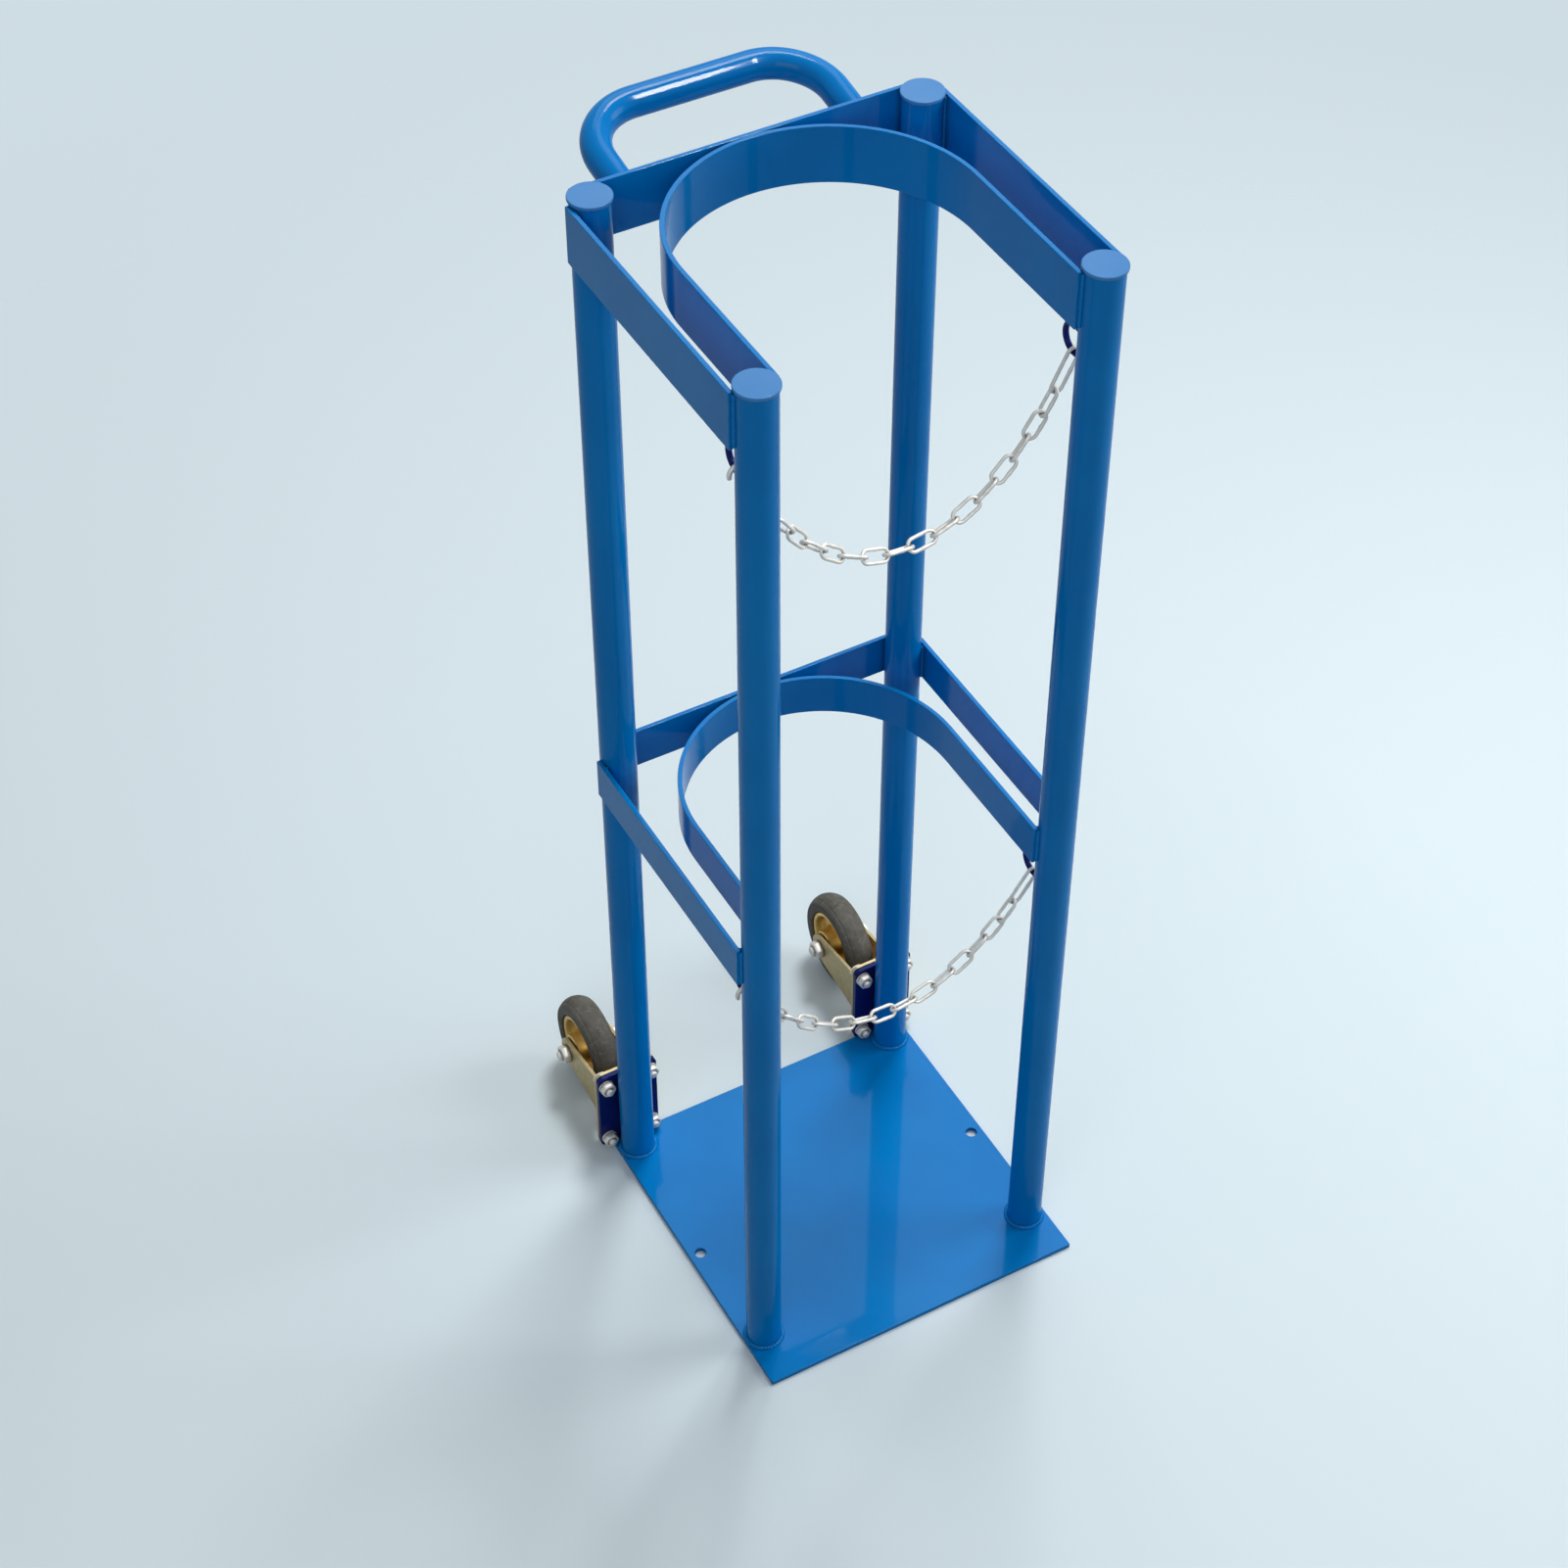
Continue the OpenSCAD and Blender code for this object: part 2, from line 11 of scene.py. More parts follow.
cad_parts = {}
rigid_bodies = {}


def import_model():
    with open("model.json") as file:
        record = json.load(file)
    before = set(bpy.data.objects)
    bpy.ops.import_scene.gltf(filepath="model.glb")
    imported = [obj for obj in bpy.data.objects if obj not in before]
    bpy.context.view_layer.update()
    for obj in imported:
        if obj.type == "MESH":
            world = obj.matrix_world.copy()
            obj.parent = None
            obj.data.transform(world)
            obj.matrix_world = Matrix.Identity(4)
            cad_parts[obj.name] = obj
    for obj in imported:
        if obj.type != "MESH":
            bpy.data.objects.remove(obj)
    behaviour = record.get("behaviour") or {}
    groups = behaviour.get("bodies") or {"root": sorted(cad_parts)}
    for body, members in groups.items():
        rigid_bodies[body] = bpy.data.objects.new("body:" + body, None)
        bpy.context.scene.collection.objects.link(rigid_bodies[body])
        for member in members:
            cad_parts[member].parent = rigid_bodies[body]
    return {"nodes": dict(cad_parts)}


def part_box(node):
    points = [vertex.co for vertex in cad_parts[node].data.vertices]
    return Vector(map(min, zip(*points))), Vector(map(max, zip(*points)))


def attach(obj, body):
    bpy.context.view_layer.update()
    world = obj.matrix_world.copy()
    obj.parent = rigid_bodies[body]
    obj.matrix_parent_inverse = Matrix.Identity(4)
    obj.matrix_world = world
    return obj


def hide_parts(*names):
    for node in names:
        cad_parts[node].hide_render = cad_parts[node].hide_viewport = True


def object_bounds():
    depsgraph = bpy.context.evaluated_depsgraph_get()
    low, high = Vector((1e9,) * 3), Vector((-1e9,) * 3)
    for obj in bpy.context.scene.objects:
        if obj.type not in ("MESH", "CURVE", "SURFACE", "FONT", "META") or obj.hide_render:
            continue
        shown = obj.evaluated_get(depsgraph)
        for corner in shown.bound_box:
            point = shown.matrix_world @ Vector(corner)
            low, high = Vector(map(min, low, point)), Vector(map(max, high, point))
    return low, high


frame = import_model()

for stray in [o for o in bpy.data.objects if o.name in ("Cube", "Light", "Camera")]:
    bpy.data.objects.remove(stray)
CAD_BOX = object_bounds()

MM = 0.001
SIDES = ("left", "right")
LEVELS = ("top", "mid")
ENDS = ("front", "rear")
TURN = 2 * math.pi
NEARLY = 1e-6
SAME_POINT = 0.001 * MM
COPLANAR = math.radians(0.5)
SHARP = math.radians(35)
FLAT_FACE = math.radians(40)
EDGE_STEPS = 3
UP = Vector((0, 0, 1))
ACROSS = Vector((1, 0, 0))
REARWARD = Vector((0, 1, 0))
ALONG_REAR = Matrix.Rotation(-math.pi / 2, 4, "X")
ALONG_AXLE = Matrix.Rotation(math.pi / 2, 4, "Y")
SEED = 11
draw = random.Random(SEED)

# Camera at the photograph's viewing angle
CAMERA_PLACE = Vector((-0.9675, -1.6352, 2.4581))
CAMERA_AZIMUTH = math.radians(-29.05)
CAMERA_ELEVATION = math.radians(45.04)
CAMERA_LENS = 73.9
CAMERA_REACH = 50.0
SENSOR = 36.0


# Reading the frame

def box(node):
    """Lowest and highest corner and middle of a node."""
    low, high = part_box(node)
    return low, high, (low + high) / 2


def upright(end, side):
    """Lowest and highest corner, middle and radius of an upright."""
    low, high, mid = box(f"upright_{end}_{side}")
    return low, high, mid, (high.x - low.x) / 2


def wheel_radius(node):
    """Outer radius of a node that is round about the axle."""
    low, high, _ = box(node)
    return (high.y - low.y) / 2


def islands(node):
    """Points of each separate solid of a node, one array for each."""
    mesh = bmesh.new()
    mesh.from_mesh(frame["nodes"][node].data)
    bmesh.ops.remove_doubles(mesh, verts=mesh.verts, dist=SAME_POINT)
    seen, found = set(), []
    for first in mesh.verts:
        if first in seen:
            continue
        seen.add(first)
        group, edge = [first], [first]
        while edge:
            near = {e.other_vert(v) for v in edge for e in v.link_edges} - seen
            seen |= near
            edge = list(near)
            group += edge
        found.append(np.array([v.co for v in group]))
    mesh.free()
    return found


# Building meshes

def piece(name, mesh, material, body="frame", stands_for=()):
    """Turns a bmesh into a piece that rides on a body, and that may stand for CAD nodes."""
    bmesh.ops.recalc_face_normals(mesh, faces=mesh.faces)
    data = bpy.data.meshes.new(name)
    mesh.to_mesh(data)
    mesh.free()
    data.materials.append(material)
    data.shade_smooth()
    made = bpy.data.objects.new(name, data)
    bpy.context.scene.collection.objects.link(made)
    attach(made, body)
    if stands_for:
        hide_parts(*stands_for)
    return made


def keep_flat_faces(made):
    """Shades broad faces flat and narrow edge strips smooth."""
    made.data.set_sharp_from_angle(angle=FLAT_FACE)
    made.modifiers.new("flat_faces", "WEIGHTED_NORMAL").keep_sharp = True


def loft(mesh, rings, loop=False):
    """Skins rings of equal length; a loop joins the last ring to the first, and otherwise both ends close."""
    corners = [[mesh.verts.new(point) for point in ring] for ring in rings]
    pairs = list(zip(corners, corners[1:] + corners[:1] if loop else corners[1:]))
    for one, two in pairs:
        for i in range(len(one)):
            k = (i + 1) % len(one)
            mesh.faces.new((one[i], one[k], two[k], two[i]))
    if not loop:
        mesh.faces.new(corners[0])
        mesh.faces.new(reversed(corners[-1]))


def lathe(mesh, place, profile, steps, loop=False):
    """Turns a profile of (radius, height) about the local Z axis of a place."""
    turns = [TURN * i / steps for i in range(steps)]
    loft(mesh, [[place @ Vector((r * math.cos(t), r * math.sin(t), h)) for t in turns]
                for r, h in profile], loop)


def sweep(mesh, path, radii, sides, closed=False):
    """Runs a round tube along a path, with a radius at each of its points."""
    count = len(path)
    turns = [TURN * k / sides for k in range(sides)]
    rings, across = [], None
    for i, point in enumerate(path):
        after = path[(i + 1) % count] if closed or i + 1 < count else point
        before = path[i - 1] if closed or i else point
        along = (after - before).normalized()
        across = along.orthogonal() if across is None else across - along * across.dot(along)
        across.normalize()
        aside = along.cross(across)
        rings.append([point + (across * math.cos(t) + aside * math.sin(t)) * radii[i] for t in turns])
    loft(mesh, rings, closed)


def line(start, end, step):
    """Points from start to end, about a step apart."""
    count = max(2, round((end - start).length / step))
    return [start.lerp(end, i / count) for i in range(count + 1)]


def arc(centre, across, aside, radius, start, turn, step):
    """Points of an arc in the plane of two unit vectors; a whole turn leaves out its last point."""
    count = max(3, round(abs(turn) * radius / step))
    last = count if abs(turn) > TURN - NEARLY else count + 1
    angles = [start + turn * i / count for i in range(last)]
    return [centre + (across * math.cos(t) + aside * math.sin(t)) * radius for t in angles]


def soften(node, material, edge, body="frame"):
    """A copy of a flat-sided node with its sharp edges rounded, which stands for it."""
    mesh = bmesh.new()
    mesh.from_mesh(frame["nodes"][node].data)
    bmesh.ops.remove_doubles(mesh, verts=mesh.verts, dist=SAME_POINT)
    bmesh.ops.dissolve_limit(mesh, angle_limit=COPLANAR, verts=mesh.verts, edges=mesh.edges)
    sharp = [e for e in mesh.edges if e.is_manifold and e.calc_face_angle() > SHARP]
    bmesh.ops.bevel(mesh, geom=sharp, offset=edge, segments=EDGE_STEPS, profile=0.5, affect="EDGES",
                    clamp_overlap=True)
    keep_flat_faces(piece(f"{node}_finish", mesh, material, body, [node]))


# Shader nodes

MASK_SAMPLES = 4
EDGE_MATCH = (0.99, 0.86)
CORNER_SHADE = (0.75, 0.2)
# Places of the Mix node's colour sockets, which share their names with its other sockets
MIX_SHARE, MIX_ONE, MIX_TWO, MIX_RESULT = 0, 6, 7, 2


def start_material(name):
    """A new material with its node tree and its Principled shader."""
    material = bpy.data.materials.new(name)
    material.use_nodes = True
    tree = material.node_tree
    return material, tree, tree.nodes["Principled BSDF"]


def add(tree, kind, sockets=None, **settings):
    """A node with its settings, and with each named socket set to a value or linked to an output."""
    node = tree.nodes.new(kind)
    for key, value in settings.items():
        setattr(node, key, value)
    for key, value in (sockets or {}).items():
        if isinstance(value, bpy.types.NodeSocket):
            tree.links.new(value, node.inputs[key])
        else:
            node.inputs[key].default_value = value
    return node


def noise(tree, scale, detail=4.0, rough=0.5, stretch=None):
    """Noise in object space, with its scale in lumps per metre; stretch scales each axis first."""
    where = add(tree, "ShaderNodeTexCoord").outputs["Object"]
    if stretch:
        where = add(tree, "ShaderNodeMapping", {"Vector": where, "Scale": stretch}).outputs["Vector"]
    return add(tree, "ShaderNodeTexNoise",
               {"Vector": where, "Scale": scale, "Detail": detail, "Roughness": rough}).outputs["Fac"]


def spread(tree, value, low, high, to_low=0.0, to_high=1.0):
    """Maps a value's range to another one, clamped."""
    return add(tree, "ShaderNodeMapRange", {"Value": value, "From Min": low, "From Max": high,
                                            "To Min": to_low, "To Max": to_high}).outputs["Result"]


def times(tree, one, two):
    """Product of two values."""
    return add(tree, "ShaderNodeMath", {0: one, 1: two}, operation="MULTIPLY").outputs["Value"]


def blend(tree, share, one, two):
    """Colour between two colours or colour outputs."""
    sockets = {MIX_SHARE: share, MIX_ONE: one, MIX_TWO: two}
    return add(tree, "ShaderNodeMix", sockets, data_type="RGBA").outputs[MIX_RESULT]


def bump(tree, height, strength, depth, under=None):
    """Bump from a height, on top of another bump."""
    sockets = {"Height": height, "Strength": strength, "Distance": depth}
    if under:
        sockets["Normal"] = under
    return add(tree, "ShaderNodeBump", sockets).outputs["Normal"]


def edges(tree, radius):
    """Mask of the edges: where the rounded normal leaves the true one."""
    rounded = add(tree, "ShaderNodeBevel", {"Radius": radius}, samples=MASK_SAMPLES).outputs["Normal"]
    true = add(tree, "ShaderNodeNewGeometry").outputs["Normal"]
    match = add(tree, "ShaderNodeVectorMath", {0: rounded, 1: true}, operation="DOT_PRODUCT")
    return spread(tree, match.outputs["Value"], *EDGE_MATCH)


def crevices(tree, distance):
    """Mask of the corners and crevices that ambient occlusion finds, where painted shade goes."""
    shade = add(tree, "ShaderNodeAmbientOcclusion", {"Distance": distance}, samples=MASK_SAMPLES)
    return spread(tree, shade.outputs["AO"], *CORNER_SHADE)


def connect(tree, shader, **outputs):
    """Links outputs to the shader's sockets, named with underscores for spaces."""
    for key, output in outputs.items():
        tree.links.new(output, shader.inputs[key.replace("_", " ")])


def settle(shader, **values):
    """Sets constants on the shader's own sockets."""
    for key, value in values.items():
        shader.inputs[key.replace("_", " ")].default_value = value


# Finishes: patterns in lumps per metre, the range of noise that shows, and shares of how far it shows

EVEN = (0.35, 0.65)
BROAD = (0.3, 0.7)
PRIMER = (0.16, 0.15, 0.14, 1)
# Near-black colour that paints shade into corners and crevices
PAINTED_SHADE = (0.012, 0.014, 0.02, 1)
RUBBED = (0.86, 0.85, 0.82, 1)

PAINT_DRIFT = 9
RUB_PATCHES = 90
RUB_RANGE = (0.42, 0.62)
RUB_EDGE = 1.2 * MM
RUB_SHOWS = 0.55
CHIP_SPECKS = 260
CHIP_RANGE = (0.66, 0.7)
CHIP_EDGE = 0.9 * MM
PAINT_CORNER = 7 * MM
PAINT_CREVICE_SHADE = 0.5
PAINT_CLOUDS = 35
PAINT_ROUGHNESS = (0.12, 0.24)
ORANGE_PEEL = 300
PEEL_DEPTH = 0.2 * MM
PAINT_RUNS = 60
RUN_STRETCH = (1.0, 1.0, 0.35)
RUN_DEPTH = 0.6 * MM

ZINC_MOTTLE = 160
ZINC_STAINS = 55
STAIN_RANGE = (0.52, 0.75)
ZINC_EDGE = 0.7 * MM
ZINC_RUB = 0.5
ZINC_CORNER = 4 * MM
ZINC_CREVICE_SHADE = 0.8
ZINC_SMEARS = 230
ZINC_SMOOTHER = 0.1
ZINC_ROUGHER = 0.12
ZINC_GRAIN = 1500
ZINC_GRAIN_DEPTH = 0.08 * MM

RUBBER_WEAR = 45
DUST_SPECKS = 240
DUST_RANGE = (0.5, 0.75)
DUST_SHOWS = 0.6
RUBBER_EDGE = 0.8 * MM
EDGE_DUST = 0.4
RUBBER_CLOUDS = 120
RUBBER_ROUGHNESS = (0.62, 0.85)
RUBBER_GRAIN = 1100
RUBBER_GRAIN_DEPTH = 0.12 * MM
RUBBER_SCUFFS = 150
SCUFF_DEPTH = 0.4 * MM


def enamel(name, colour, deep, thin):
    """Brushed gloss enamel: slow drift of tone, thin paint and chips on edges, painted shade in corners."""
    material, tree, shader = start_material(name)
    drift = spread(tree, noise(tree, PAINT_DRIFT, detail=3), *EVEN)
    tone = blend(tree, drift, colour, deep)
    patches = spread(tree, noise(tree, RUB_PATCHES, detail=5), *RUB_RANGE)
    rubbed = times(tree, edges(tree, RUB_EDGE), patches)
    tone = blend(tree, times(tree, rubbed, RUB_SHOWS), tone, thin)
    specks = spread(tree, noise(tree, CHIP_SPECKS, detail=3, rough=0.7), *CHIP_RANGE)
    tone = blend(tree, times(tree, edges(tree, CHIP_EDGE), specks), tone, PRIMER)
    # Painted shade: darkens the enamel where ambient occlusion finds corners
    tone = blend(tree, times(tree, crevices(tree, PAINT_CORNER), PAINT_CREVICE_SHADE), tone, PAINTED_SHADE)
    gloss = spread(tree, noise(tree, PAINT_CLOUDS, detail=5, rough=0.6), *BROAD, *PAINT_ROUGHNESS)
    peel = bump(tree, noise(tree, ORANGE_PEEL, detail=2), strength=0.05, depth=PEEL_DEPTH)
    strokes = noise(tree, PAINT_RUNS, detail=2, rough=0.4, stretch=RUN_STRETCH)
    runs = bump(tree, strokes, strength=0.1, depth=RUN_DEPTH, under=peel)
    connect(tree, shader, Base_Color=tone, Roughness=gloss, Normal=runs)
    settle(shader, Coat_Weight=0.12, Coat_Roughness=0.04, Specular_IOR_Level=0.03)
    return material


def zinc(name, colour, dull, stain, rough, metal=1.0):
    """Zinc plate: mottled bright metal with dull patches, rubbed edges, and painted shade in crevices."""
    material, tree, shader = start_material(name)
    tone = blend(tree, spread(tree, noise(tree, ZINC_MOTTLE), *EVEN), colour, dull)
    tone = blend(tree, spread(tree, noise(tree, ZINC_STAINS, detail=3), *STAIN_RANGE), tone, stain)
    tone = blend(tree, times(tree, edges(tree, ZINC_EDGE), ZINC_RUB), tone, RUBBED)
    # Painted shade: darkens the zinc where ambient occlusion finds crevices
    tone = blend(tree, times(tree, crevices(tree, ZINC_CORNER), ZINC_CREVICE_SHADE), tone, PAINTED_SHADE)
    smears = noise(tree, ZINC_SMEARS, detail=5, rough=0.6)
    gloss = spread(tree, smears, *BROAD, rough - ZINC_SMOOTHER, rough + ZINC_ROUGHER)
    grain = bump(tree, noise(tree, ZINC_GRAIN, detail=3), strength=0.12, depth=ZINC_GRAIN_DEPTH)
    connect(tree, shader, Base_Color=tone, Roughness=gloss, Normal=grain)
    settle(shader, Metallic=metal)
    return material


def rubber(name, colour, worn, dust):
    """Solid tyre: dark rubber, greyed by wear in patches and by dust in specks and on edges."""
    material, tree, shader = start_material(name)
    wear = spread(tree, noise(tree, RUBBER_WEAR, detail=5, rough=0.6), *EVEN)
    tone = blend(tree, wear, colour, worn)
    specks = spread(tree, noise(tree, DUST_SPECKS, rough=0.65), *DUST_RANGE)
    tone = blend(tree, times(tree, specks, DUST_SHOWS), tone, dust)
    tone = blend(tree, times(tree, edges(tree, RUBBER_EDGE), EDGE_DUST), tone, dust)
    gloss = spread(tree, noise(tree, RUBBER_CLOUDS), *BROAD, *RUBBER_ROUGHNESS)
    grain = bump(tree, noise(tree, RUBBER_GRAIN, rough=0.6), strength=0.3, depth=RUBBER_GRAIN_DEPTH)
    dents = noise(tree, RUBBER_SCUFFS, detail=3)
    scuffs = bump(tree, dents, strength=0.15, depth=SCUFF_DEPTH, under=grain)
    connect(tree, shader, Base_Color=tone, Roughness=gloss, Normal=scuffs)
    settle(shader, Specular_IOR_Level=0.35)
    return material


BLUE = enamel("blue_enamel", colour=(0.0, 0.200, 0.565, 1), deep=(0.0, 0.175, 0.515, 1),
              thin=(0.05, 0.29, 0.62, 1))
# Lighter, greyer copy of the blue enamel for the caps: painted sheen of their upward faces
CAP_SHEEN_BLUE = enamel("cap_enamel_painted_sheen", colour=(0.075, 0.25, 0.56, 1), deep=(0.05, 0.22, 0.53, 1),
                  thin=(0.12, 0.33, 0.62, 1))
NAVY = enamel("navy_enamel", colour=(0.006, 0.016, 0.150, 1), deep=(0.004, 0.010, 0.105, 1),
              thin=(0.05, 0.07, 0.25, 1))
BRIGHT = zinc("bright_zinc", colour=(0.77, 0.74, 0.69, 1), dull=(0.66, 0.63, 0.58, 1),
              stain=(0.67, 0.62, 0.53, 1), rough=0.54, metal=0.45)
GOLD = zinc("yellow_zinc", colour=(0.48, 0.38, 0.18, 1), dull=(0.40, 0.31, 0.15, 1),
            stain=(0.47, 0.34, 0.16, 1), rough=0.42, metal=0.6)
HUB = zinc("hub_gold", colour=(0.66, 0.40, 0.09, 1), dull=(0.52, 0.30, 0.07, 1),
           stain=(0.58, 0.36, 0.12, 1), rough=0.38)
BRONZE = zinc("bush_bronze", colour=(0.42, 0.30, 0.14, 1), dull=(0.33, 0.23, 0.10, 1),
              stain=(0.30, 0.22, 0.12, 1), rough=0.45)
TYRE = rubber("tyre_rubber", colour=(0.056, 0.052, 0.043, 1), worn=(0.098, 0.091, 0.075, 1),
              dust=(0.20, 0.185, 0.15, 1))


# Nodes that keep their CAD shape

def dress(node, material):
    """Gives a CAD node its finish."""
    frame["nodes"][node].material_slots[0].material = material


for end in ENDS:
    for side in SIDES:
        dress(f"upright_{end}_{side}", BLUE)
dress("handle", BLUE)
for side in SIDES:
    dress(f"axle_sleeve_{side}", BRIGHT)
    dress(f"wheel_bush_{side}", BRONZE)
    for level in LEVELS:
        dress(f"{level}_eye_{side}", NAVY)


# Flat bars, plates and caps with softened edges

BAR_EDGE = 0.6 * MM
CAP_EDGE = 0.9 * MM
PRESS_EDGE = 0.8 * MM
WASHER_EDGE = 0.35 * MM

soften("foot_plate", BLUE, BAR_EDGE)
for level in LEVELS:
    soften(f"{level}_rear_bar", BLUE, BAR_EDGE)
    soften(f"{level}_cradle_band", BLUE, BAR_EDGE)
    soften(f"{level}_hook", BRIGHT, PRESS_EDGE, f"{level}_chain_set")
    for side in SIDES:
        soften(f"{level}_side_bar_{side}", BLUE, BAR_EDGE)
for side in SIDES:
    soften(f"mount_plate_{side}", NAVY, BAR_EDGE)
    soften(f"caster_fork_{side}", GOLD, PRESS_EDGE)
    soften(f"caster_washers_{side}", BRIGHT, WASHER_EDGE)
    for end in ENDS:
        # The caps take the copy of the enamel that is lightened as painted sheen
        soften(f"cap_{end}_{side}", CAP_SHEEN_BLUE, CAP_EDGE)


# Weld beads, painted over with the frame

BEAD_STEP = 0.7 * MM
BEAD_SIDES = 10
BEAD_WANDER = 0.12 * MM
BEAD_UNEVEN = 0.03
BEAD_TIP = 0.2
RIPPLE = 2.8 * MM
RIPPLE_SHARE = 0.1
SEAM_BEAD = 2.0 * MM
SEAM_INSET = 1.5 * MM
FOOT_BEAD = 2.5 * MM
CAP_BEAD = 1.0 * MM
EYE_BEAD = 1.6 * MM
EYE_BEAD_HALF = 6 * MM
EYE_BEAD_IN = 0.9 * MM
EYE_BEAD_ASIDE = 0.9
HANDLE_TUBE = 25 * MM
# Where a bead's middle lies, in shares of its own radius
SEAM_SUNK = 0.45
BAR_END_OUT = 0.5
BAR_END_PAST = 0.2
FOOT_OUT = 0.25
FOOT_UP = 0.1
CAP_DOWN = 0.4
HANDLE_PAST = 0.3
HANDLE_OUT = 0.2
# Room at the ends of the caster plates' beads, in radii of the foot's bead below and of their own above
MOUNT_CLEAR = 2


def bead(mesh, path, radius, closed=False):
    """Rippled weld bead along a path, with round ends unless it closes on itself."""
    length = 0.0
    radii, points = [], []
    total = sum((b - a).length for a, b in zip(path, path[1:]))
    for i, point in enumerate(path):
        length += (point - path[i - 1]).length if i else 0.0
        ripple = RIPPLE_SHARE * math.sin(TURN * length / RIPPLE)
        swell = 1 + ripple + draw.uniform(-BEAD_UNEVEN, BEAD_UNEVEN)
        to_end = min(length, total - length) / radius
        taper = 1.0 if closed else math.sqrt(max(BEAD_TIP ** 2, 1 - max(0.0, 1 - to_end) ** 2))
        radii.append(radius * swell * taper)
        points.append(point + Vector([draw.uniform(-1, 1) * BEAD_WANDER for _ in range(3)]))
    sweep(mesh, points, radii, BEAD_SIDES, closed)


def ring_bead(mesh, centre, aside, reach, radius):
    """Closed bead round a centre, in the plane of the X axis and another unit vector."""
    bead(mesh, arc(centre, ACROSS, aside, reach, 0, TURN, BEAD_STEP), radius, True)


def upright_bead(mesh, x, y, low, high, radius):
    """Vertical bead beside an upright."""
    bead(mesh, line(Vector((x, y, low)), Vector((x, y, high)), BEAD_STEP), radius)


def groove(radius, gap):
    """Distance along a face from where a round touches it to where the space between is a gap wide."""
    return math.sqrt(radius ** 2 - (radius - gap) ** 2)


def foot_beads():
    """Rings round the feet of the uprights, open where a foot meets the plate's rear edge."""
    mesh = bmesh.new()
    _, plate_high, _ = box("foot_plate")
    for end in ENDS:
        for side in SIDES:
            _, _, tube, radius = upright(end, side)
            reach = radius + FOOT_OUT * FOOT_BEAD
            foot = Vector((tube.x, tube.y, plate_high.z + FOOT_UP * FOOT_BEAD))
            room = plate_high.y - FOOT_BEAD - tube.y
            if room > reach:
                ring_bead(mesh, foot, REARWARD, reach, FOOT_BEAD)
            else:
                edge = math.asin(room / reach)
                start, turn = math.pi - edge, math.pi + 2 * edge
                bead(mesh, arc(foot, ACROSS, REARWARD, reach, start, turn, BEAD_STEP), FOOT_BEAD)
    piece("foot_weld_beads", mesh, BLUE, stands_for=["foot_welds"])


def cap_beads():
    """Thin seam under each cap."""
    mesh = bmesh.new()
    for end in ENDS:
        for side in SIDES:
            _, high, tube, radius = upright(end, side)
            top = Vector((tube.x, tube.y, high.z - CAP_DOWN * CAP_BEAD))
            ring_bead(mesh, top, REARWARD, radius, CAP_BEAD)
    piece("cap_weld_beads", mesh, BLUE)


def handle_beads():
    """Rings where the handle's legs meet the rear bar."""
    mesh = bmesh.new()
    low, high, _ = box("handle")
    _, bar_high, bar = box("top_rear_bar")
    radius = HANDLE_TUBE / 2
    for x in (low.x + radius, high.x - radius):
        centre = Vector((x, bar_high.y + HANDLE_PAST * SEAM_BEAD, bar.z))
        ring_bead(mesh, centre, UP, radius + HANDLE_OUT * SEAM_BEAD, SEAM_BEAD)
    piece("handle_weld_beads", mesh, BLUE)


def eye_beads():
    """Two short beads on each chain eye, where it lies against its upright."""
    mesh = bmesh.new()
    for level in LEVELS:
        for side in SIDES:
            low, high, mid = box(f"{level}_eye_{side}")
            wire = (high.x - low.x) / 2
            for way in (-1, 1):
                x = mid.x + way * EYE_BEAD_ASIDE * wire
                upright_bead(mesh, x, low.y + EYE_BEAD_IN, mid.z - EYE_BEAD_HALF, mid.z + EYE_BEAD_HALF,
                             EYE_BEAD)
    piece("eye_weld_beads", mesh, NAVY)


def mount_beads():
    """Beads up both sides of each rear upright, along its caster plate."""
    mesh = bmesh.new()
    for side in SIDES:
        _, plate_high, _ = box(f"mount_plate_{side}")
        tube_low, tube_high, tube, radius = upright("rear", side)
        for way in (-1, 1):
            upright_bead(mesh, tube.x + way * groove(radius, SEAM_BEAD), tube_high.y - SEAM_SUNK * SEAM_BEAD,
                         tube_low.z + MOUNT_CLEAR * FOOT_BEAD, plate_high.z - MOUNT_CLEAR * SEAM_BEAD,
                         SEAM_BEAD)
    piece("mount_weld_beads", mesh, NAVY)


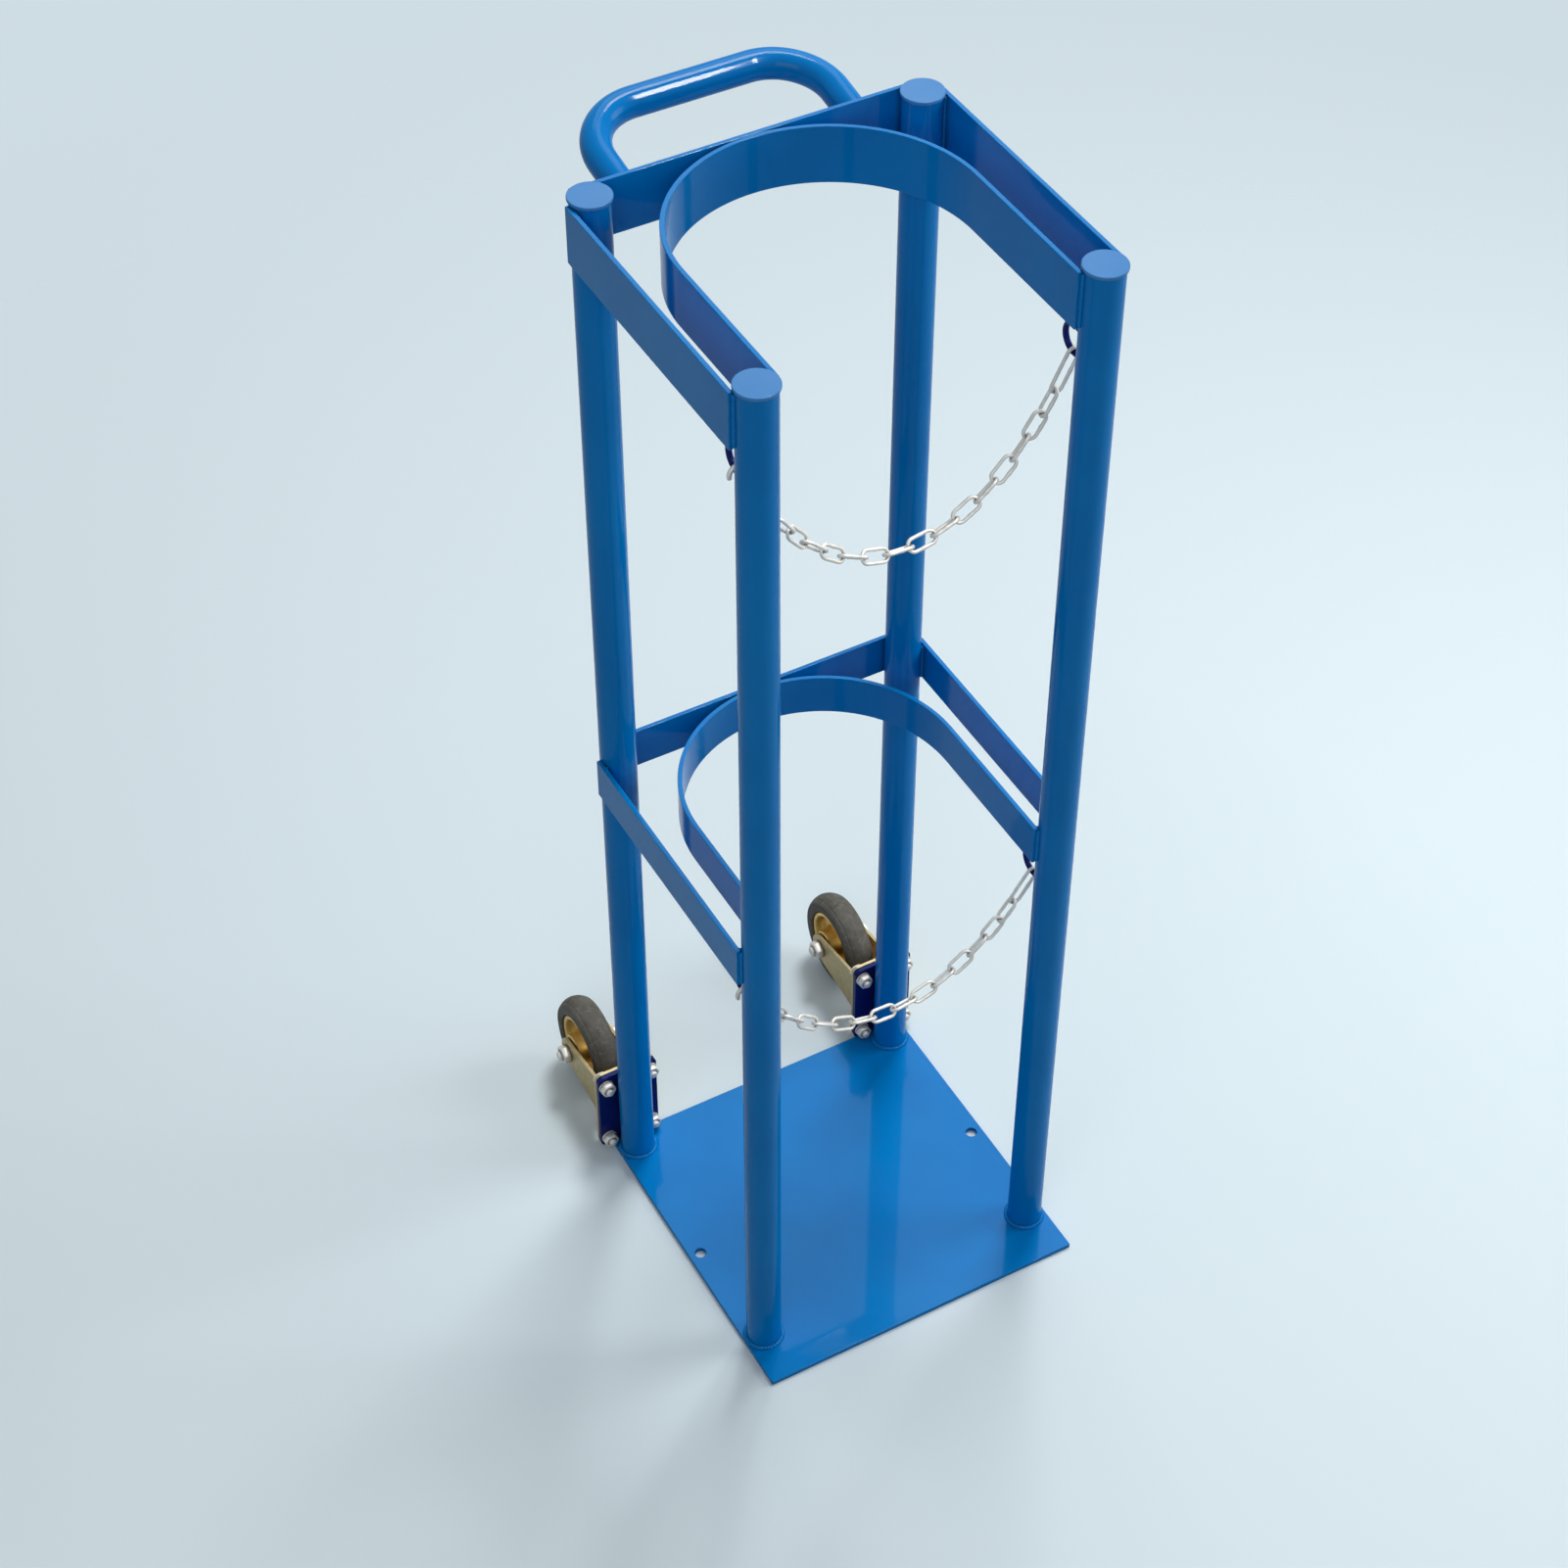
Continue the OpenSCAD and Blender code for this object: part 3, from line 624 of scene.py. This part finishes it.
def bar_beads(level):
    """Beads in the grooves between the uprights and the bars and bands of one level."""
    mesh = bmesh.new()
    band_low, band_high, _ = box(f"{level}_cradle_band")
    for side, sign in zip(SIDES, (-1, 1)):
        bar_low, bar_high, _ = box(f"{level}_side_bar_{side}")

        def seam(x, y):
            """Bead up most of the bars' height."""
            upright_bead(mesh, x, y, bar_low.z + SEAM_INSET, bar_high.z - SEAM_INSET, SEAM_BEAD)

        for end, inward in zip(ENDS, (1, -1)):
            _, _, tube, radius = upright(end, side)
            aside = groove(radius, SEAM_BEAD)
            sunk = radius - SEAM_SUNK * SEAM_BEAD
            out = BAR_END_OUT * SEAM_BEAD
            past = BAR_END_PAST * SEAM_BEAD
            face = tube.x + sign * sunk
            bar_end = bar_low.y if end == "front" else bar_high.y
            seam(face, tube.y + inward * aside)
            seam(face + sign * out, bar_end - inward * past)
            if end == "front":
                inner = tube.x - sign * sunk
                seam(inner, tube.y + aside)
                seam(inner - sign * out, band_low.y - past)
            else:
                for way in (-1, 1):
                    seam(tube.x + way * aside, tube.y + sunk)
        reach = groove((band_high.x - band_low.x) / 2, SEAM_BEAD)
        seam(sign * reach, band_high.y - SEAM_SUNK * SEAM_BEAD)
    piece(f"{level}_bar_weld_beads", mesh, BLUE)


foot_beads()
cap_beads()
handle_beads()
eye_beads()
mount_beads()
for level in LEVELS:
    bar_beads(level)


# Chains of welded links

LINK_STEP = 1.1 * MM
LINK_SIDES = 14
LINK_WELD = 1.7 * MM
LINK_SWELL = 0.2


def chain_link(mesh, points):
    """One link in the place of a solid: a wire loop with a butt weld in the middle of one side."""
    centred = points - points.mean(axis=0)
    _, shortest_first = np.linalg.eigh(centred.T @ centred)
    axes = shortest_first[:, ::-1]
    measured = points @ axes
    low, high = measured.min(axis=0), measured.max(axis=0)
    long, wide, out = [Vector(axis) for axis in axes.T]
    middle = (low + high) / 2
    centre = long * middle[0] + wide * middle[1] + out * middle[2]
    length, width, wire = high - low
    bend, half = (width - wire) / 2, (length - width) / 2
    path = line(centre - long * half - wide * bend, centre + long * half - wide * bend, LINK_STEP)[:-1]
    path += arc(centre + long * half, long, wide, bend, -math.pi / 2, math.pi, LINK_STEP)[:-1]
    path += line(centre + long * half + wide * bend, centre - long * half + wide * bend, LINK_STEP)[:-1]
    path += arc(centre - long * half, long, wide, bend, math.pi / 2, math.pi, LINK_STEP)[:-1]
    weld = centre + wide * bend
    radii = [wire / 2 * (1 + LINK_SWELL * math.exp(-((p - weld).length / LINK_WELD) ** 2)) for p in path]
    sweep(mesh, path, radii, LINK_SIDES, True)


for level in LEVELS:
    for part in ("chain", "end_link"):
        mesh = bmesh.new()
        for solid in islands(f"{level}_{part}"):
            chain_link(mesh, solid)
        piece(f"{level}_{part}_wire", mesh, BRIGHT, f"{level}_chain_set",
              [f"{level}_{part}"])


# Hexagon bolts and nuts

HEX_STEPS = 72
HEX_CHAMFER = math.tan(math.radians(30))
HEX_FACE = 0.96
THREAD_STEPS = 36
THREAD_RINGS = 8
THREAD_DEPTH = 0.61
NUT_FLARE = 0.7 * MM
FORK_SHEET = 3 * MM
BOLT_SIZE = 8 * MM
BOLT_PITCH = 1.25 * MM
AXLE_SIZE = 10 * MM
AXLE_PITCH = 1.5 * MM
SPOT_DECIMALS = 3


def hex_rings(place, flats, low, high, chamfer_low):
    """Rings of a hexagon with its corners turned off at the top, and also at the bottom if asked."""
    angles = [TURN * i / HEX_STEPS for i in range(HEX_STEPS)]
    face = HEX_FACE * flats / 2
    out = [flats / 2 / math.cos(t % (TURN / 6) - TURN / 12) for t in angles]
    drop = [max(0.0, r - face) * HEX_CHAMFER for r in out]

    def ring(radii, heights):
        """Ring with a radius and a height at each angle."""
        return [place @ Vector((r * math.cos(t), r * math.sin(t), h))
                for r, h, t in zip(radii, heights, angles)]

    flat = [face] * HEX_STEPS
    below = [low + d for d in drop] if chamfer_low else [low] * HEX_STEPS
    rings = [ring(flat, [low] * HEX_STEPS)] if chamfer_low else []
    return rings + [ring(out, below), ring(out, [high - d for d in drop]), ring(flat, [high] * HEX_STEPS)]


def circle_ring(place, radius, height):
    """Round ring with as many points as a hexagon's ring."""
    angles = [TURN * i / HEX_STEPS for i in range(HEX_STEPS)]
    return [place @ Vector((radius * math.cos(t), radius * math.sin(t), height)) for t in angles]


def bolt_head(mesh, place, flats, low, high):
    """Hexagon head with its outer face chamfered."""
    loft(mesh, hex_rings(place, flats, low, high, False))


def hex_nut(mesh, place, flats, bore, low, high):
    """Nut with both faces chamfered and its bore flared."""
    rings = [circle_ring(place, bore, low + NUT_FLARE), circle_ring(place, bore + NUT_FLARE, low)]
    rings += hex_rings(place, flats, low, high, True)
    rings += [circle_ring(place, bore + NUT_FLARE, high), circle_ring(place, bore, high - NUT_FLARE)]
    loft(mesh, rings, True)


def thread(mesh, place, radius, pitch, low, high):
    """Round bar with a helical thread and a tapered tip at its low end."""
    depth = THREAD_DEPTH * pitch
    turns = [TURN * i / THREAD_STEPS for i in range(THREAD_STEPS)]
    count = math.ceil((high - low) / pitch * THREAD_RINGS)
    rings = []
    for i in range(count + 1):
        height = low + (high - low) * i / count
        tip = max(0.0, depth - (height - low))
        ridge = [abs(((height / pitch - t / TURN) % 1.0) * 2 - 1) for t in turns]
        radii = [radius - max(tip, depth * r) for r in ridge]
        rings.append([place @ Vector((math.cos(t) * r, math.sin(t) * r, height))
                      for t, r in zip(turns, radii)])
    loft(mesh, rings)


def spot_of(points):
    """Where a fastener sits on its plate, to the millimetre."""
    return tuple(np.round(points.mean(axis=0)[[0, 2]], SPOT_DECIMALS))


def caster_fasteners(side):
    """Heads on the caster plate, and nuts on threaded ends in front of the mounting plate."""
    _, mount_high, _ = box(f"mount_plate_{side}")
    seat = mount_high.y + FORK_SHEET
    bore = BOLT_SIZE / 2
    bolts, nuts = bmesh.new(), bmesh.new()
    for bolt, nut in zip(sorted(islands(f"caster_bolts_{side}"), key=spot_of),
                         sorted(islands(f"caster_nuts_{side}"), key=spot_of)):
        low, high = bolt.min(axis=0), bolt.max(axis=0)
        nut_low, nut_high = nut.min(axis=0), nut.max(axis=0)
        flats = high[2] - low[2]
        place = Matrix.Translation(((low[0] + high[0]) / 2, 0, (low[2] + high[2]) / 2)) @ ALONG_REAR
        bolt_head(bolts, place, flats, seat, high[1])
        thread(bolts, place, bore, BOLT_PITCH, low[1], seat)
        hex_nut(nuts, place, flats, bore, nut_low[1], nut_high[1])
    piece(f"caster_bolts_{side}_finish", bolts, BRIGHT, stands_for=[f"caster_bolts_{side}"])
    piece(f"caster_nuts_{side}_finish", nuts, BRIGHT, stands_for=[f"caster_nuts_{side}"])


def axle_fasteners(side):
    """Axle bolt with its head and thread, and its nut."""
    bolt_low, bolt_high, bolt = box(f"axle_bolt_{side}")
    nut_low, nut_high, _ = box(f"axle_nut_{side}")
    _, sleeve_high, _ = box(f"axle_sleeve_{side}")
    place = Matrix.Translation((0, bolt.y, bolt.z)) @ ALONG_AXLE
    flats = bolt_high.y - bolt_low.y
    seat = sleeve_high.x + FORK_SHEET
    bolts, nuts = bmesh.new(), bmesh.new()
    bolt_head(bolts, place, flats, seat, bolt_high.x)
    thread(bolts, place, AXLE_SIZE / 2, AXLE_PITCH, bolt_low.x, seat)
    hex_nut(nuts, place, flats, AXLE_SIZE / 2, nut_low.x, nut_high.x)
    piece(f"axle_bolt_{side}_finish", bolts, BRIGHT, stands_for=[f"axle_bolt_{side}"])
    piece(f"axle_nut_{side}_finish", nuts, BRIGHT, stands_for=[f"axle_nut_{side}"])


for side in SIDES:
    caster_fasteners(side)
    axle_fasteners(side)


# Wheels

WHEEL_STEPS = 128
CROWN = 18 * MM
CROWN_STEPS = 56
SHOULDER_ROUND = 0.8 * MM
SHOULDER_DROP = 0.4 * MM
FLANK_LIP = 1.2 * MM
FLANK_LIP_WIDTH = 0.8 * MM
FLANK_STEP = 0.3 * MM
FLANK_STEP_WIDTH = 2.2 * MM
FLANK_SLOPE = 0.5 * MM
GROOVE = 0.45 * MM
GROOVE_ASIDE = 9.5 * MM
GROOVE_WIDTH = 0.55 * MM
SEAM = 0.12 * MM
SEAM_WIDTH = 0.4 * MM
RIM_STEP = 2 * MM
RIM = 6 * MM
RIM_ROUND = 1.5 * MM
WEB = 9 * MM
WEB_BEND = 3 * MM
WALL_SLOPE = 0.6 * MM
WALL_FOOT = 2.5 * MM
BOSS = 32 * MM
BOSS_ROUND = 1.2 * MM
BORE_CHAMFER = 0.8 * MM
RIVETS = 5
RIVET = 2.6 * MM
RIVET_RISE = 0.6
RIVET_ROOT = 1 * MM
RIVET_STEPS = 20
RIVET_ANGLES = [math.radians(a) for a in (0, 20, 40, 60, 78)]


def wheel_place(side):
    """Place of a wheel, with the axle as its local Z axis, and the wheel's radius and half width."""
    low, high, mid = box(f"tyre_{side}")
    return Matrix.Translation(mid) @ ALONG_AXLE, (high.y - low.y) / 2, (high.x - low.x) / 2


def mirrored(profile):
    """A profile's other half, from its end back to its start."""
    return [(r, -h) for r, h in reversed(profile)]


def tyre(side):
    """Solid tyre: flank with a step, round crown with two fine grooves and the mould's seam."""
    place, radius, half = wheel_place(side)
    rim = wheel_radius(f"wheel_hub_{side}")
    shoulder = radius - CROWN + math.sqrt(CROWN ** 2 - half ** 2)
    step = half - FLANK_STEP
    flank = [(rim, half - FLANK_LIP), (rim + FLANK_LIP_WIDTH, step), (rim + FLANK_STEP_WIDTH, step),
             (rim + FLANK_STEP_WIDTH + FLANK_SLOPE, half), (shoulder - SHOULDER_ROUND, half)]
    top = []
    for i in range(CROWN_STEPS + 1):
        aside = (half - SHOULDER_DROP) * (1 - i / CROWN_STEPS)
        cut = GROOVE * math.exp(-((aside - GROOVE_ASIDE) / GROOVE_WIDTH) ** 2)
        seam = SEAM * math.exp(-(aside / SEAM_WIDTH) ** 2)
        top.append((radius - CROWN + math.sqrt(CROWN ** 2 - aside ** 2) - cut + seam, aside))
    one_side = flank + top
    mesh = bmesh.new()
    lathe(mesh, place, one_side + mirrored(one_side[:-1]), WHEEL_STEPS, True)
    keep_flat_faces(piece(f"tyre_{side}_finish", mesh, TYRE, f"wheel_{side}", [f"tyre_{side}"]))


def hub(side):
    """Pressed hub: rolled rim lips, dished web with rivets, and a boss."""
    place, _, half = wheel_place(side)
    node = f"wheel_hub_{side}"
    low, high, _ = box(node)
    boss_half = (high.x - low.x) / 2
    rim = wheel_radius(node)
    wall = rim - RIM
    bore = wheel_radius(f"wheel_bush_{side}")
    lip = half - RIM_STEP
    web = WEB / 2
    boss = BOSS / 2
    face = [(bore, boss_half - BORE_CHAMFER), (bore + BORE_CHAMFER, boss_half),
            (boss - BOSS_ROUND, boss_half), (boss, boss_half - BOSS_ROUND),
            (boss + WALL_SLOPE, web + WEB_BEND), (boss + WEB_BEND, web),
            (wall - WEB_BEND, web), (wall - WALL_SLOPE, web + WALL_FOOT),
            (wall, lip - RIM_ROUND), (wall + RIM_ROUND, lip),
            (rim - RIM_ROUND, lip), (rim, lip - RIM_ROUND)]
    mesh = bmesh.new()
    lathe(mesh, place, face + mirrored(face), WHEEL_STEPS, True)
    middle = (boss + wall) / 2
    for way in (-1, 1):
        for i in range(RIVETS):
            spot = Matrix.Rotation(TURN * i / RIVETS, 4, "Z") @ Matrix.Translation((middle, 0, way * web))
            dome = [(RIVET * math.cos(t), way * RIVET * RIVET_RISE * math.sin(t)) for t in RIVET_ANGLES]
            lathe(mesh, place @ spot, [(RIVET, -way * RIVET_ROOT)] + dome, RIVET_STEPS)
    keep_flat_faces(piece(f"{node}_finish", mesh, HUB, f"wheel_{side}", [node]))


for side in SIDES:
    tyre(side)
    hub(side)


# Floor, light and camera

LAMP_AIM = Vector((0, 0, 0.5))
GLOSS_ROLL = math.radians(53)
FLOOR_SIZE = 16.0
FLOOR_BELOW = 0.2 * MM
FLOOR_COLOUR = (0.66, 0.76, 0.80, 1)
FLOOR_BOUNCE = (0.30, 0.33, 0.36, 1)
FLOOR_NEAR = 0.8
FLOOR_FAR = 2.2
ROOM_COLOUR = (0.62, 0.72, 0.77, 1)
ROOM_LIGHT = (0.205, 0.213, 0.220, 1)


def seen_rays(tree):
    """1 for rays that show a thing to the camera, straight or in a reflection, and 0 for other light."""
    ray = add(tree, "ShaderNodeLightPath").outputs
    seen = ray["Is Camera Ray"]
    for kind in ("Is Glossy Ray", "Is Transmission Ray"):
        seen = add(tree, "ShaderNodeMath", {0: seen, 1: ray[kind]}, operation="MAXIMUM").outputs["Value"]
    return seen


def floor():
    """Plain pale floor under the plate, which fades into the room's colour far from it."""
    mesh = bmesh.new()
    bmesh.ops.create_grid(mesh, x_segments=1, y_segments=1, size=FLOOR_SIZE / 2)
    data = bpy.data.meshes.new("floor")
    mesh.to_mesh(data)
    mesh.free()
    material, tree, shader = start_material("floor_paper")
    connect(tree, shader, Base_Color=blend(tree, seen_rays(tree), FLOOR_BOUNCE, FLOOR_COLOUR))
    settle(shader, Roughness=0.9, Specular_IOR_Level=0.1)
    where = add(tree, "ShaderNodeTexCoord").outputs["Object"]
    away = add(tree, "ShaderNodeVectorMath", {0: where}, operation="LENGTH").outputs["Value"]
    clear = add(tree, "ShaderNodeBsdfTransparent").outputs["BSDF"]
    fade = add(tree, "ShaderNodeMixShader", {0: spread(tree, away, FLOOR_NEAR, FLOOR_FAR),
                                             1: shader.outputs["BSDF"], 2: clear}).outputs["Shader"]
    connect(tree, tree.nodes["Material Output"], Surface=fade)
    data.materials.append(material)
    made = bpy.data.objects.new("floor", data)
    bpy.context.scene.collection.objects.link(made)
    made.location.z = CAD_BOX[0].z - FLOOR_BELOW


def room():
    """Pale surroundings, which light the trolley less than they show."""
    world = bpy.data.worlds.new("room")
    world.use_nodes = True
    tree = world.node_tree
    connect(tree, tree.nodes["Background"], Color=blend(tree, seen_rays(tree), ROOM_LIGHT, ROOM_COLOUR))
    bpy.context.scene.world = world


def panel(name, place, size, power, roll=0.0):
    """Soft lamp that faces the middle of the trolley, and may be rolled about the line to it."""
    lamp = bpy.data.lights.new(name, "AREA")
    lamp.shape = "RECTANGLE"
    lamp.size, lamp.size_y = size
    lamp.energy = power
    made = bpy.data.objects.new(name, lamp)
    bpy.context.scene.collection.objects.link(made)
    made.location = place
    facing = (LAMP_AIM - Vector(place)).to_track_quat("-Z", "Y")
    made.rotation_euler = (facing @ Quaternion(UP, roll)).to_euler()
    return made


floor()
room()
panel("key_panel", place=(2.0, 1.8, 5.6), size=(1.4, 1.4), power=165)
# A narrow panel that shows in gloss alone, as the streak on the grip
streak = panel("gloss_panel", place=(1.10, -1.18, 3.47), size=(1.6, 0.24), power=140, roll=GLOSS_ROLL)
streak.visible_diffuse = False
panel("front_panel", place=(-1.6, -2.0, 2.6), size=(2.2, 1.6), power=25)
panel("side_panel", place=(2.6, -0.7, 1.5), size=(1.4, 2.2), power=46)
panel("rear_panel", place=(1.0, 1.8, 2.6), size=(1.6, 1.1), power=16)

camera = bpy.data.objects.new("camera", bpy.data.cameras.new("camera"))
bpy.context.scene.collection.objects.link(camera)
camera.location = CAMERA_PLACE
camera.rotation_euler = (math.pi / 2 - CAMERA_ELEVATION, 0, CAMERA_AZIMUTH)
camera.data.sensor_width = SENSOR
camera.data.lens = CAMERA_LENS
camera.data.clip_end = CAMERA_REACH
bpy.context.scene.camera = camera
bpy.context.scene.view_settings.view_transform = "Standard"
